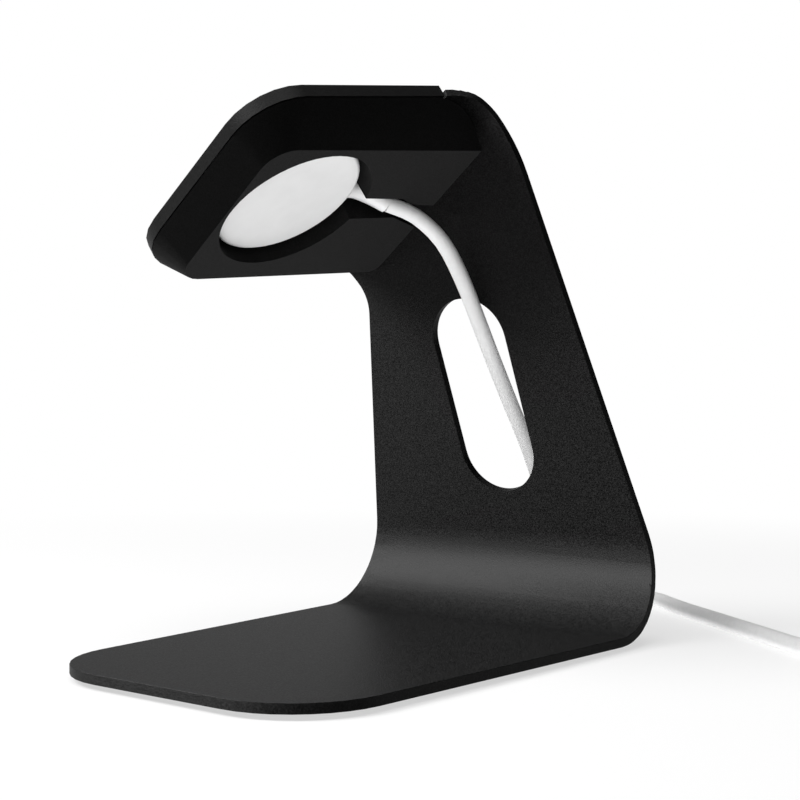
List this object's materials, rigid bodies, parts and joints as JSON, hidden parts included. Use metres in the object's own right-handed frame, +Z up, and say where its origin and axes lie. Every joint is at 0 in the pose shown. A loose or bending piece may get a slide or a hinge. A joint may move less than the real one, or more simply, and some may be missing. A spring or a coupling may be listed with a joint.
{
  "type": "smartwatch charging dock",
  "caption": "Bent-sheet desk dock with a tilted cradle that holds a magnetic charging puck; its cord drops through a slot in the upright.",
  "frame": {"origin": "on the floor under the middle of the stand's footprint, cord left out", "axes": "+X across the base to the side of the raised end of the cradle, -Y forward along the base, +Z up"},
  "size_m": [0.1665, 0.1453, 0.101],
  "materials": {
    "black_anodised": "black anodised, fine bead-blasted texture",
    "black_plastic": "matte moulded",
    "black_rubber": "matte",
    "white_plastic": "satin to gloss",
    "white_cord": "smooth jacket",
    "steel": "plated",
    "gold": "plated contacts",
    "copper": "wound wire",
    "ferrite": "pressed",
    "green_board": "coated"
  },
  "bodies": {
    "root": {"stand_body": "black_anodised", "base_pad": "black_rubber", "cradle_block": "black_plastic", "cradle_cover": "black_anodised", "puck_shell": "white_plastic", "puck_cap": "white_plastic", "puck_board": "green_board", "puck_ferrite": "ferrite", "puck_magnet": "steel", "puck_winding": "copper", "puck_relief": "white_plastic", "charging_cord": "white_cord", "cord_coil": "white_cord", "plug_relief": "white_plastic", "plug_body": "white_plastic", "plug_shell": "steel", "plug_tongue": "white_plastic", "plug_contact_1": "gold", "plug_contact_2": "gold", "plug_contact_3": "gold", "plug_contact_4": "gold"}
  },
  "joints": []
}
